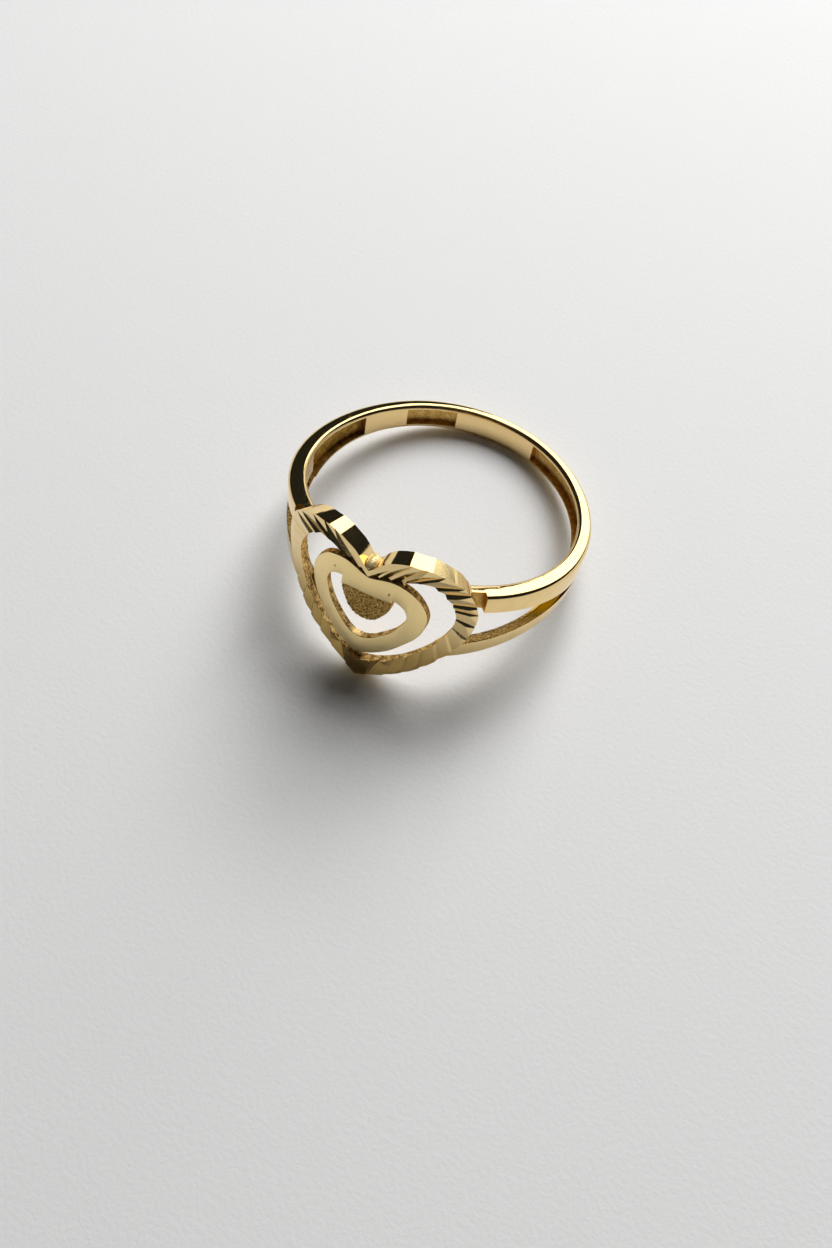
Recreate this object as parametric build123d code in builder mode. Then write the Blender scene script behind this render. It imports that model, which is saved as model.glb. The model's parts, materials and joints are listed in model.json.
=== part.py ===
from build123d import *
from math import asin, atan2, cos, degrees, hypot, radians, sin, sqrt, tan
import os

# Heart ring, cast and soldered gold in one piece, in millimetres.
# It is modelled upright round its finger axis (+Z), with the heart towards -Y,
# and is then laid down as it rests: on the heart's tip and the back of the shank.

# Shank
finger_d = 16.7           # inside diameter
shank_wall = 0.70         # thickness at the back
shoulder_wall = 1.24      # thickness at the front, beside the heart
shank_width = 1.80        # height of the plain stretch at the back
flare_start = 6.5         # how far behind the axis the edges leave that stretch
flare_past = 1.0          # how far past the front their arcs run on
shoulder_rise = 2.56      # climb of the top edge along its arc
shoulder_drop = 2.70      # fall of the bottom edge along its arc
edge_round = 0.25         # rounding of the two outer edges

# Split shoulders
upper_arm = 1.20          # height of the upper arm at the front
lower_arm = 1.22          # height of the lower arm at the front
lower_arm_wall = 0.85     # its thickness, which stops short of the finger
split_y = -0.4            # the point where the two arms part
split_z = -0.5
split_bow = 0.28          # how far the lower side of the gap bows up from its chord
ramp_start = 0.80         # how far before that point the lower arm's inner side starts to slope
ramp_depth = 0.45         # fall of this slope
ramp_turn = 45            # degrees that it leans from upright
notch_depth = 0.45        # step cut into the upper arm where the heart is soldered on
notch_end = 40            # degrees from the front where the step stops
solder_overlap = 0.30     # how far the arms run into the heart

# Pockets cast into the inside of the shank, in degrees from the back
pocket_depth = 0.40
pocket_rim = 0.28
pocket_spans = {"left": (-90, -64), "short": (-43, -20), "right": (19, 86)}

# Heart: widths across its lobes, heights from the middle of the shank's back
heart_width = 11.9
heart_rise = 0.20         # how far the face stands proud of the shank
heart_back = 0.38         # how far its back is hollowed away from the finger
cleft_z = 3.14
lobe_z = 4.65
tip_z = -6.27
frame_side = 1.08         # width of the outer frame at its sides
frame_tip = 1.45          # and at its tip
inner_top = 3.30          # top of the opening inside the outer frame
middle_width = 7.25
middle_top = 2.98
middle_tip = -4.12
window_width = 5.10       # opening of the middle heart
window_top = 1.62
window_tip = -2.58
centre_width = 3.15       # grained heart in the centre
centre_tip = -0.95
middle_set_back = 0.05    # the two smaller hearts behind the frame's face
middle_wall = 0.60        # their thickness
middle_turn = 2.3         # degrees that they lean to the left
bridge_width = 0.80       # solder bridge between the two lower tips
bridge_set_back = 0.35
bridge_sink = 0.25        # how far the bridge runs into both tips

# Cuts across the frame's face, each with a steep and a gentle flank
cut_depth = 0.15          # at the opening
cut_steep = 0.32          # widths of the two flanks there
cut_gentle = 0.80
cut_run = 0.50            # how far a cut runs on into the opening

# Values worked out from these
finger_r = finger_d / 2
outer_r = finger_r + (shank_wall + shoulder_wall) / 2
outer_y = (shank_wall - shoulder_wall) / 2
face_r = outer_r + heart_rise
heart_back_r = finger_r + heart_back
front_y = outer_y - face_r
back_y = outer_y + outer_r
flare_end = front_y - flare_past
half_shank = shank_width / 2
reach = 2 * finger_r      # further than any cutter needs to go


def face_depth(x):
    """Distance of the heart's face from the finger axis, seen from above, at the width x."""
    return sqrt(face_r**2 - x**2) - outer_y


def edge_z(y, climb):
    """Distance of a band edge from the zero line, beside the point y."""
    share = max(flare_start - y, 0) / (flare_start - flare_end)
    return half_shank + climb * share**2


def band_side(inset):
    """The band seen from the side, with both edges drawn in by inset."""
    top = half_shank + shoulder_rise - inset
    bottom = inset - half_shank - shoulder_drop
    plain = half_shank - inset
    with BuildSketch(Plane.YZ.offset(-reach)) as side:
        with BuildLine():
            upper = TangentArc((flare_start, plain), (flare_end, top), tangent=(-1, 0))
            lower = TangentArc((flare_start, -plain), (flare_end, bottom), tangent=(-1, 0))
            Line(upper @ 1, lower @ 1)
            Polyline(upper @ 0, (reach, plain), (reach, -plain), lower @ 0)
        make_face()
    return side.sketch


def heart_face(right, left=None, plane=Plane.XZ):
    """Fill the heart between two rows of points, from cleft to tip.

    The left row has positive widths too. Without it the left half mirrors the right one.
    """
    with BuildSketch(plane) as heart:
        with BuildLine():
            Spline(*right)
            Spline(*[(-x, z) for x, z in left or right])
        make_face()
    return heart.sketch


def bent_heart(right, left):
    """A heart whose outline lies on the face and whose walls run straight to the finger axis."""
    sections = []
    for distance in (0.75 * finger_r, 1.3 * finger_r):
        rows = []
        for row in (right, left):
            rows.append([(x * distance / face_depth(x), z) for x, z in row])
        sections.append(heart_face(*rows, Plane.XZ.offset(distance)))
    return loft(sections, ruled=True)


def sector(start, end):
    """A slice of the ring seen from above, in degrees from the back towards +X."""
    turns = [start, (start + end) / 2, end]
    with BuildSketch(Plane.XY.offset(-reach / 2)) as slice_face:
        with BuildLine():
            rim = [(reach * sin(radians(turn)), reach * cos(radians(turn))) for turn in turns]
            Polyline((0, 0), *rim, close=True)
        make_face()
    return slice_face.sketch


def ring_face(inner, outer, outer_centre):
    """The area between a circle round the finger axis and a larger one."""
    with BuildSketch(Plane.XY.offset(-reach / 2)) as area:
        with Locations((0, outer_centre)):
            Circle(outer)
        Circle(inner, mode=Mode.SUBTRACT)
    return area.sketch


def curved(outline, face_radius, wall):
    """Extrude a heart outline and trim it to a curved layer of even thickness behind the face."""
    with BuildPart() as layer:
        extrude(outline, amount=reach)
        with BuildSketch(Plane.XY.offset(-reach / 2)):
            with Locations((0, outer_y)):
                Circle(face_radius)
                Circle(face_radius - wall, mode=Mode.SUBTRACT)
        extrude(amount=reach, mode=Mode.INTERSECT)
    return layer.part


def face_cut(inner, outer, gentle):
    """Prism with a V section that cuts deepest at inner and runs out at outer, both on the face.

    Its steep flank looks up, and gentle is the other flank's width.
    """
    bottom = Vector(inner[0], -face_depth(inner[0]), inner[1])
    end = Vector(outer[0], -face_depth(outer[0]), outer[1])
    lean = asin((inner[0] + outer[0]) / 2 / face_r)
    outward = Vector(sin(lean), -cos(lean), 0)
    bottom -= outward * cut_depth
    along = (end - bottom).normalized()
    across = outward.cross(along) * (1 if outer[0] > 0 else -1)
    height = outward - along * outward.dot(along)
    start = Plane(origin=bottom - along * cut_run, x_dir=across, z_dir=across.cross(height.normalized()))
    side = 1 if start.y_dir.dot(outward) > 0 else -1
    with BuildPart() as tool:
        with BuildSketch(start):
            with BuildLine():
                steep_top = (-2 * cut_steep, 2 * side * cut_depth)
                gentle_top = (2 * gentle, 2 * side * cut_depth)
                Polyline(steep_top, (0, 0), gentle_top, close=True)
            make_face()
        length = (end - bottom).length + cut_run
        extrude(amount=length * (1 if start.z_dir.dot(along) > 0 else -1))
    return tool.part


# Heart outlines from cleft to tip, as shares of half width and of height. The frame is a little
# fuller on the left, and the two smaller hearts are even
half = heart_width / 2
outer_points = [
    (0, cleft_z),
    (0.27 * half, 0.98 * lobe_z),
    (0.58 * half, 0.98 * lobe_z),
    (0.97 * half, 0.44 * lobe_z),
    (0.99 * half, 0.02 * tip_z),
    (0.72 * half, 0.51 * tip_z),
    (0.25 * half, 0.87 * tip_z),
    (0, tip_z),
]
outer_left = [
    (0, cleft_z),
    (0.27 * half, 0.98 * lobe_z),
    (0.58 * half, 0.99 * lobe_z),
    (0.88 * half, 0.73 * lobe_z),
    (1.03 * half, 0.36 * lobe_z),
    (1.03 * half, 0.04 * tip_z),
    (0.76 * half, 0.48 * tip_z),
    (0.35 * half, 0.77 * tip_z),
    (0, tip_z),
]
inner_half = half - frame_side
inner_tip = tip_z + frame_tip
inner_points = [
    (0, 0.72 * inner_top),
    (0.38 * inner_half, 0.88 * inner_top),
    (0.67 * inner_half, inner_top),
    (0.97 * inner_half, 0.52 * inner_top),
    (0.97 * inner_half, 0.08 * inner_tip),
    (0.64 * inner_half, 0.60 * inner_tip),
    (0.20 * inner_half, 0.92 * inner_tip),
    (0, inner_tip),
]
inner_left = [
    (0, 0.72 * inner_top),
    (0.38 * inner_half, 0.88 * inner_top),
    (0.66 * inner_half, inner_top),
    (0.98 * inner_half, 0.48 * inner_top),
    (1.01 * inner_half, 0.08 * inner_tip),
    (0.68 * inner_half, 0.60 * inner_tip),
    (0.24 * inner_half, 0.86 * inner_tip),
    (0, inner_tip),
]
middle_half = middle_width / 2
middle_points = [
    (0, 0.89 * middle_top),
    (0.50 * middle_half, middle_top),
    (0.90 * middle_half, 0.58 * middle_top),
    (0.99 * middle_half, 0.02 * middle_tip),
    (0.71 * middle_half, 0.50 * middle_tip),
    (0.30 * middle_half, 0.86 * middle_tip),
    (0, middle_tip),
]
window_half = window_width / 2
window_points = [
    (0, 0.80 * window_top),
    (0.62 * window_half, window_top),
    (0.97 * window_half, 0.52 * window_top),
    (0.91 * window_half, 0.14 * window_tip),
    (0.52 * window_half, 0.68 * window_tip),
    (0.16 * window_half, 0.97 * window_tip),
    (0, window_tip),
]
centre_half = centre_width / 2
centre_points = [
    (0, 1.20 * window_top),
    (0.70 * centre_half, 1.10 * window_top),
    (centre_half, 0.62 * window_top),
    (0.76 * centre_half, 0.10 * centre_tip),
    (0.38 * centre_half, 0.84 * centre_tip),
    (0, centre_tip),
]

# Cuts on the right half, from cleft to tip: where they start at the opening and run out at the
# rim, as shares of the half width and of the lobe's or the tip's height, and the share of the
# gentle flank that there is room for
lobe_cuts = [
    {"inner": (0.07, 0.58), "outer": (0.17, 0.77), "room": 0.4},
    {"inner": (0.19, 0.65), "outer": (0.36, 0.94), "room": 0.8},
    {"inner": (0.32, 0.68), "outer": (0.49, 0.94), "room": 1.0},
    {"inner": (0.43, 0.70), "outer": (0.63, 0.88), "room": 1.0},
    {"inner": (0.57, 0.68), "outer": (0.80, 0.74), "room": 1.0},
    {"inner": (0.68, 0.60), "outer": (0.90, 0.63), "room": 0.8},
    {"inner": (0.76, 0.44), "outer": (0.99, 0.41), "room": 0.8},
    {"inner": (0.80, 0.35), "outer": (0.98, 0.28), "room": 0.6},
    {"inner": (0.82, 0.20), "outer": (1.00, 0.05), "room": 1.0},
]
limb_cuts = [
    {"inner": (0.83, 0.00), "outer": (0.96, 0.13), "room": 1.0},
    {"inner": (0.79, 0.08), "outer": (0.89, 0.37), "room": 1.2},
    {"inner": (0.72, 0.23), "outer": (0.77, 0.48), "room": 1.2},
    {"inner": (0.62, 0.34), "outer": (0.63, 0.60), "room": 1.2},
    {"inner": (0.51, 0.46), "outer": (0.48, 0.69), "room": 1.2},
    {"inner": (0.38, 0.58), "outer": (0.32, 0.79), "room": 1.2},
    {"inner": (0.21, 0.74), "outer": (0.13, 0.92), "room": 1.2},
]

# Band: a ring of uneven wall, trimmed to its side view, with its outer edges rounded
with BuildPart() as band:
    extrude(ring_face(finger_r, outer_r, outer_y), amount=reach)
    extrude(band_side(0), amount=2 * reach, mode=Mode.INTERSECT)
    outer_rims = [
        edge
        for edge in band.edges()
        if edge.geom_type != GeomType.LINE
        and all(hypot(v.X, v.Y - outer_y) > outer_r - shank_wall / 2 for v in edge.vertices())
    ]
    fillet(outer_rims, edge_round)

# Pockets on the inside of the shank
for start, end in pocket_spans.values():
    with BuildPart() as pocket:
        extrude(ring_face(finger_r / 2, finger_r + pocket_depth, 0), amount=reach)
        extrude(band_side(pocket_rim), amount=2 * reach, mode=Mode.INTERSECT)
        extrude(sector(start, end), amount=reach, mode=Mode.INTERSECT)
    with band:
        add(pocket.part, mode=Mode.SUBTRACT)

# Gap between the two arms of each shoulder
gap_top = edge_z(front_y, shoulder_rise) - upper_arm
gap_bottom = lower_arm - edge_z(front_y, shoulder_drop)
gap_middle = ((split_y + front_y) / 2, (split_z + gap_bottom) / 2 + split_bow)
with band:
    with BuildSketch(Plane.YZ.offset(-reach)):
        with BuildLine():
            upper_side = Line((split_y, split_z), (front_y, gap_top))
            lower_side = ThreePointArc((split_y, split_z), gap_middle, (front_y, gap_bottom))
            Line(upper_side @ 1, lower_side @ 1)
        make_face()
    extrude(amount=2 * reach, mode=Mode.SUBTRACT)

# Sloping inner side of the lower arms: a cone pressed in along the gap's lower side
fall = atan2(split_z - gap_bottom, split_y - front_y)
downward = (0, sin(fall), -cos(fall))
ramp_plane = Plane(origin=(0, split_y, split_z), x_dir=(-1, 0, 0), z_dir=downward).offset(-split_bow)
ramp_height = split_bow + ramp_depth
with BuildPart(ramp_plane) as ramp:
    with Locations((0, (outer_y - split_y) / cos(fall))):
        ramp_end_r = outer_r - ramp_height * tan(radians(ramp_turn))
        Cone(outer_r, ramp_end_r, ramp_height, align=(Align.CENTER, Align.CENTER, Align.MIN))
    with Locations((0, -ramp_start)):
        Box(2 * reach, 2 * reach, reach, align=(Align.CENTER, Align.MIN, Align.CENTER), mode=Mode.SUBTRACT)
with band:
    add(ramp.part, mode=Mode.SUBTRACT)
    with BuildSketch(ramp_plane):
        with Locations((0, (outer_y - split_y) / cos(fall))):
            Circle(outer_r - lower_arm_wall)
        with Locations((0, -ramp_start)):
            Rectangle(2 * reach, reach, align=(Align.CENTER, Align.MAX), mode=Mode.INTERSECT)
    extrude(amount=reach, mode=Mode.SUBTRACT)

# Step in the upper arms where the heart is soldered on, and the opening for the heart
shrink = 1 - solder_overlap / half
opening = []
for row in (outer_points, outer_left):
    opening.append([(x * shrink, z * shrink) for x, z in row])
with band:
    with BuildSketch(Plane.XY):
        with Locations((0, outer_y)):
            Circle(reach)
            Circle(outer_r - notch_depth, mode=Mode.SUBTRACT)
        add(sector(180 - notch_end, 180 + notch_end), mode=Mode.INTERSECT)
    extrude(amount=reach, mode=Mode.SUBTRACT)
    add(bent_heart(*opening), mode=Mode.SUBTRACT)
    with BuildSketch(Plane.XZ):
        Rectangle(half, 2 * cleft_z)
    extrude(amount=reach, mode=Mode.SUBTRACT)

# Outer frame
with BuildPart() as frame:
    add(bent_heart(outer_points, outer_left))
    extrude(ring_face(heart_back_r, face_r, outer_y), amount=reach, mode=Mode.INTERSECT)
    extrude(heart_face(inner_points, inner_left), amount=reach, mode=Mode.SUBTRACT)
    for side in (1, -1):
        for cuts, height in ((lobe_cuts, lobe_z), (limb_cuts, tip_z)):
            for cut in cuts:
                ends = [(side * cut[end][0] * half, cut[end][1] * height) for end in ("inner", "outer")]
                add(face_cut(*ends, cut["room"] * cut_gentle), mode=Mode.SUBTRACT)

# Middle heart with its window, the grained centre heart and the solder bridge
leaning = Pos(0, 0, window_top) * Rot(0, middle_turn, 0) * Pos(0, 0, -window_top)
middle_outline = leaning * (heart_face(middle_points) - heart_face(window_points))
centre_outline = leaning * heart_face(centre_points)
middle_foot = -sin(radians(middle_turn)) * (window_top - middle_tip)
with BuildPart() as heart_ring:
    add(band.part)
    add(frame.part)
    add(curved(middle_outline, face_r - middle_set_back, middle_wall))
    add(curved(centre_outline, face_r - middle_set_back, middle_wall))
    with BuildSketch(Plane.XZ) as bridge:
        with Locations((middle_foot, (inner_tip + middle_tip) / 2)):
            Rectangle(bridge_width, middle_tip - inner_tip + 2 * bridge_sink)
    add(curved(bridge.sketch, face_r - bridge_set_back, middle_wall))

# Laid down on the back edge of the heart's tip and the rounded lower edge of the shank
foot_y = outer_y + outer_r - edge_round + heart_back_r
foot_z = edge_round - half_shank - tip_z
rest_turn = degrees(atan2(foot_z, foot_y) - asin(edge_round / hypot(foot_y, foot_z)))
laid = Rot(-rest_turn, 0, 0) * heart_ring.part
box = laid.bounding_box()
heart_ring.part = Pos(-box.center().X, -box.center().Y, -box.min.Z) * laid

os.makedirs("parts", exist_ok=True)
heart_ring.part.label = "heart_ring"
export_step(heart_ring.part, "parts/heart_ring.step")
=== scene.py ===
import json
from math import asin, atan2, cos, hypot, pi, radians, sin, sqrt, tan

import bmesh
import bpy
from mathutils import Euler, Matrix, Vector


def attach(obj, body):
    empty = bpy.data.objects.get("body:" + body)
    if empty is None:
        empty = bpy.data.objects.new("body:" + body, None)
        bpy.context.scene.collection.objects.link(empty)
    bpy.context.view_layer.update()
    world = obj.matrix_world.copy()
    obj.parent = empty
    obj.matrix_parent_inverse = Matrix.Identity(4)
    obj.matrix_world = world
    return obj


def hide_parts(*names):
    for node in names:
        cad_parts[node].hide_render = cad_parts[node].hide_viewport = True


# Pieces are modelled upright in millimetres, round the finger axis +Z with the heart towards -Y,
# and are laid down and brought to metres when they are finished
MM = 0.001
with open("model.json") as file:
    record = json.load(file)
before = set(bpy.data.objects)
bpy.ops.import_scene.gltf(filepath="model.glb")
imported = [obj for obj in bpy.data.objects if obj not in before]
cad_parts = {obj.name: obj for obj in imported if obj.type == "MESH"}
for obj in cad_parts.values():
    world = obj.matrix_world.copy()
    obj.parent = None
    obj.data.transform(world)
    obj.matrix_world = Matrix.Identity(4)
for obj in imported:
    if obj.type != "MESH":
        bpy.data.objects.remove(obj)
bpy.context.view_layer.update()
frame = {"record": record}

# The finger hole's place and lean in the CAD model give the turn that lays a piece down
finger_hole = frame["record"]["mounts"][0]
axis = Vector(finger_hole["axis"])
HOLE_PLACE = finger_hole["pos_m"]
HOLE_LEAN = -atan2(axis.y, axis.z)
LAID = Matrix.Translation(HOLE_PLACE) @ Matrix.Rotation(HOLE_LEAN, 4, "X") @ Matrix.Scale(MM, 4)

# Shank
FINGER_R = 8.35
SHANK_WALL = 0.70
SHOULDER_WALL = 1.24
SHANK_WIDTH = 1.80
FLARE_START = 6.5
FLARE_PAST = 1.0
SHOULDER_RISE = 2.56
SHOULDER_DROP = 2.70
RIM_ROUND = 0.25
INNER_ROUND = 0.24
# Split shoulders
UPPER_ARM = 1.20
LOWER_ARM = 1.22
LOWER_ARM_WALL = 0.85
SPLIT = Vector((-0.4, -0.5))
SPLIT_BOW = 0.28
GAP_RUN = 0.50
RAMP_START = 0.80
RAMP_DEPTH = 0.45
RAMP_TURN = radians(45)
RAMP_OVERLAP = 0.10
NOTCH_DEPTH = 0.45
NOTCH_END = 40
SOLDER_OVERLAP = 0.30
# Pockets inside the shank: where each starts and ends, in degrees from the back, and whether it is
# darkened with painted shade
POCKET_DEPTH = 0.40
POCKET_RIM = 0.28
POCKETS = ((-103, -64, True), (-43, -20, False), (19, 86, False))
# Hearts: widths, and heights from the middle of the shank's back. The middle heart stands a hair
# proud of the frame
HEART_WIDTH = 11.9
HEART_RISE = 0.20
HEART_BACK = 0.38
CLEFT = 3.14
LOBE = 4.65
TIP = -6.27
FRAME_SIDE = 1.08
FRAME_TIP = 1.45
INNER_TOP = 3.30
MIDDLE_WIDTH = 7.25
MIDDLE_TOP = 2.98
MIDDLE_TIP = -4.12
WINDOW_WIDTH = 5.10
WINDOW_TOP = 1.62
WINDOW_TIP = -2.58
CENTRE_WIDTH = 3.15
CENTRE_TIP = -0.95
MIDDLE_PROUD = 0.015
MIDDLE_WALL = 0.42
MIDDLE_TURN = radians(2.3)
MIDDLE_ROUND = 0.04
# How far the window's cutter, and the crown left out of it, reach to both sides of the face
WINDOW_REACH = 1
CROWN_REACH = 2
# The frame's opening: its rim, and how the frame is thinned behind it
OPENING_ROUND = 0.05
FLANGE_WALL = 0.60
FLANGE_SPREAD = 1.11
# The grain's piece runs on under the plain part, and its face lies a little behind the plain one
GRAIN_UNDER = 0.25
GRAIN_SINK = 0.05
GRAIN_CELL = 0.035
GRAIN_SIZE = 0.14
GRAIN_DEPTH = 0.14
GRAIN_MIDDLE = 0.75
GRAIN_REACH = 0.05
# Solder: the bar between the tips, the bead in the cleft, and two nibs on the middle heart's face,
# across and up
BRIDGE_WIDTH = 0.80
BRIDGE_SET_BACK = 0.35
BRIDGE_SINK = 0.25
BEAD_PLACE = (-0.08, -9.17, 3.27)
BEAD_SHAPE = (0.82, 1.20, 0.62)
BEAD_LUMP = 0.5
BEAD_UNEVEN = 0.05
NIBS = ((-2.12, 2.02), (1.36, 1.98))
NIB_RADIUS = 0.10
# Cuts across the frame's face: how much wider than deep the steep flank is, the depth left at the
# rim as a share, the gentle flank's width, and how far a cutter runs past both ends
CUT_STEEP = 0.12
CUT_END = 0.30
CUT_GENTLE = 0.80
CUT_RUN = 0.50
# Flat facets on the lobes' outer wall: half width, how far out the block goes, and how far it runs
# past both ends of the wall
FACET_REACH = 0.60
FACET_RISE = 0.40
FACET_RUN = 0.40
# Worked out from these
OUTER_R = FINGER_R + (SHANK_WALL + SHOULDER_WALL) / 2
OUTER_Y = (SHANK_WALL - SHOULDER_WALL) / 2
FACE_R = OUTER_R + HEART_RISE
BACK_R = FINGER_R + HEART_BACK
FRONT_Y = OUTER_Y - FACE_R
FLARE_END = FRONT_Y - FLARE_PAST
HALF_SHANK = SHANK_WIDTH / 2
HALF = HEART_WIDTH / 2
INNER_HALF = HALF - FRAME_SIDE
INNER_TIP = TIP + FRAME_TIP
MIDDLE_HALF = MIDDLE_WIDTH / 2
WINDOW_HALF = WINDOW_WIDTH / 2
CENTRE_HALF = CENTRE_WIDTH / 2
REACH = 2 * FINGER_R
HEART_LOW = 0.75 * FINGER_R
HEART_HIGH = 1.3 * FINGER_R
# How finely round shapes are drawn, what counts as sharp, near and upright, and below what angle
# faces are smoothed
ROUND_SIDES = 288
CURVE_STEPS = 14
GAP_STEPS = 24
SIDE_STEPS = 48
STRIP = 0.20
STRIP_SHIFT = 0.37
SHARP = radians(50)
NEAR = 0.02
TINY = 1e-6
UPRIGHT = 0.3
SMOOTH_BELOW = radians(28)
FRAME_SMOOTH_BELOW = radians(8)
# Radius at which the band's pattern is unrolled
UNROLL_R = 9
# The view: the camera's place in millimetres and its turn in degrees, the floor in metres, and the
# softboxes by azimuth, elevation, distance, size, brightness and whether the ring mirrors them
CAMERA_PLACE = Vector((13.771, -26.179, 55.520))
CAMERA_TURN = (23.5048, 0.6007, 28.6699)
CAMERA_LENS = 28.0
SENSOR_WIDTH = 36.0
CLIP_START = 0.002
FLOOR_SIZE = 1.2
LIGHTS = (
    ("key", 88, 33, 0.30, (0.17, 0.33), 2.6, True),
    ("key_lift", 93, 46, 0.54, (0.324, 0.324), 8.0, False),
    ("overhead", 100, 74, 0.35, (0.20, 0.20), 0.2, True),
)


class Socket:
    """A shader value that takes part in Python expressions, each adding its Math node."""

    def __init__(self, tree, link):
        self.tree = tree
        self.link = link

    def maths(self, operation, *values):
        return self.tree.node("ShaderNodeMath", {"operation": operation}, dict(enumerate(values)))

    def __add__(self, other):
        return self.maths("ADD", self, other)

    __radd__ = __add__

    def __mul__(self, other):
        return self.maths("MULTIPLY", self, other)

    __rmul__ = __mul__

    def __sub__(self, other):
        return self.maths("SUBTRACT", self, other)

    def __rsub__(self, other):
        return self.maths("SUBTRACT", other, self)

    def __pow__(self, other):
        return self.maths("POWER", self, other)


class Tree:
    """The nodes of one material or of the world."""

    def __init__(self, owner):
        owner.use_nodes = True
        self.nodes = owner.node_tree.nodes
        self.links = owner.node_tree.links
        self.nodes.clear()

    def node(self, kind, settings=None, inputs=None, output=0):
        """Adds a node, makes its settings, fills or links its sockets and returns one output."""
        added = self.nodes.new(kind)
        for name, value in (settings or {}).items():
            setattr(added, name, value)
        for name, value in (inputs or {}).items():
            if isinstance(value, Socket):
                self.links.new(value.link, added.inputs[name])
            else:
                added.inputs[name].default_value = value
        self.last = added
        return Socket(self, added.outputs[output]) if added.outputs else None

    def ring_place(self):
        """The place on the ring in millimetres, stood upright round the finger axis."""
        return self.own_place(HOLE_PLACE, (HOLE_LEAN, 0, 0))

    def own_place(self, origin=(0, 0, 0), turn=(0, 0, 0)):
        """The place on the object in millimetres, from an origin and with a turn taken back."""
        seen = self.node("ShaderNodeTexCoord", output="Object")
        inputs = {"Vector": seen, "Location": origin, "Rotation": turn, "Scale": (MM, MM, MM)}
        return self.node("ShaderNodeMapping", {"vector_type": "TEXTURE"}, inputs)

    def split(self, vector):
        """The three coordinates of a vector."""
        self.node("ShaderNodeSeparateXYZ", None, {"Vector": vector})
        return [Socket(self, output) for output in self.last.outputs]

    def band_place(self):
        """Millimetres along the band, up it and outward."""
        x, y, z = self.split(self.ring_place())
        around = self.node("ShaderNodeMath", {"operation": "ARCTAN2"}, {0: x, 1: y})
        outward = (x * x + y * y) ** 0.5
        return self.node("ShaderNodeCombineXYZ", None, {"X": around * UNROLL_R, "Y": z, "Z": outward})

    def noise(self, place, stretch=(1, 1, 1), detail=3.0, rough=0.5, shift=0.0):
        """Noise whose patches are one over stretch wide, in millimetres."""
        moved = {"Vector": place, "Scale": stretch, "Location": (shift, shift, shift)}
        drawn = self.node("ShaderNodeMapping", None, moved)
        inputs = {"Vector": drawn, "Scale": 1.0, "Detail": detail, "Roughness": rough}
        return self.node("ShaderNodeTexNoise", None, inputs)

    def step(self, value, low, high):
        """Rises smoothly from 0 at low to 1 at high."""
        inputs = {"Value": value, "From Min": low, "From Max": high}
        return self.node("ShaderNodeMapRange", {"interpolation_type": "SMOOTHSTEP"}, inputs)

    def blend(self, factor, first, second):
        """Mixes two colours: a Mix node's colours are its inputs 6 and 7 and its output 2."""
        first, second = [(*c, 1.0) if isinstance(c, tuple) else c for c in (first, second)]
        return self.node("ShaderNodeMix", {"data_type": "RGBA"}, {0: factor, 6: first, 7: second}, 2)

    def bump(self, height, depth):
        """A relief that is depth millimetres deep from height 0 to height 1."""
        inputs = {"Strength": 1.0, "Distance": depth * MM, "Height": height}
        return self.node("ShaderNodeBump", None, inputs)

    def surface(self, colour, roughness, relief, constants):
        """Ends the tree in a surface."""
        inputs = {"Base Color": colour, "Roughness": roughness, "Normal": relief, **constants}
        shaded = self.node("ShaderNodeBsdfPrincipled", None, inputs)
        self.node("ShaderNodeOutputMaterial", None, {"Surface": shaded})

    def metal(self, colour, roughness, relief, shine=1.0, edge=(1, 1, 1)):
        """Ends in a metal, shine being the share that mirrors and edge its tint seen at a slant."""
        self.surface(colour, roughness, relief, {"Metallic": shine, "Specular Tint": (*edge, 1.0)})


def polished_gold():
    """Mirror polish with hair-fine scratches along the band and across it, and patches worn dull."""
    material = bpy.data.materials.new("polished_gold")
    tree = Tree(material)
    place = tree.band_place()
    hairs = tree.step(tree.noise(place, (0.7, 24, 24), 2.0), 0.60, 0.72)
    crossing = tree.step(tree.noise(place, (9, 1.4, 9), 2.0, shift=3.1), 0.64, 0.74)
    patches = tree.step(tree.noise(place, (1.1, 1.6, 1.6), 4.0, 0.6, 7.7), 0.46, 0.66)
    along = tree.split(place)[0]
    worn = tree.step(along, 2.0, 9.0) * patches
    flecks = tree.step(tree.noise(place, (6, 11, 11), 3.0, 0.6, 1.9), 0.55, 0.66) * worn
    swell = tree.noise(place, (0.9, 1.2, 1.2), 1.0, shift=5.5)
    colour = tree.blend(patches, (0.90, 0.665, 0.300), (0.86, 0.625, 0.275))
    roughness = hairs * 0.06 + crossing * 0.04 + flecks * 0.20 + 0.06
    relief = tree.bump(swell - hairs * 0.04 - crossing * 0.04 - flecks * 0.14, 0.010)
    tree.metal(colour, roughness, relief)
    return material


def inner_gold():
    """The satin inside wall: drawn lines along the band, in cloudy patches."""
    material = bpy.data.materials.new("inner_gold")
    tree = Tree(material)
    place = tree.band_place()
    lines = tree.noise(place, (0.35, 16, 16), 4.0, 0.6)
    cloud = tree.noise(place, (0.6, 1.5, 1.5), 3.0, shift=4.0)
    colour = tree.blend(cloud, (0.80, 0.575, 0.255), (0.90, 0.67, 0.33))
    tree.metal(colour, lines * 0.10 + cloud * 0.10 + 0.14, tree.bump(lines, 0.006))
    return material


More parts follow.
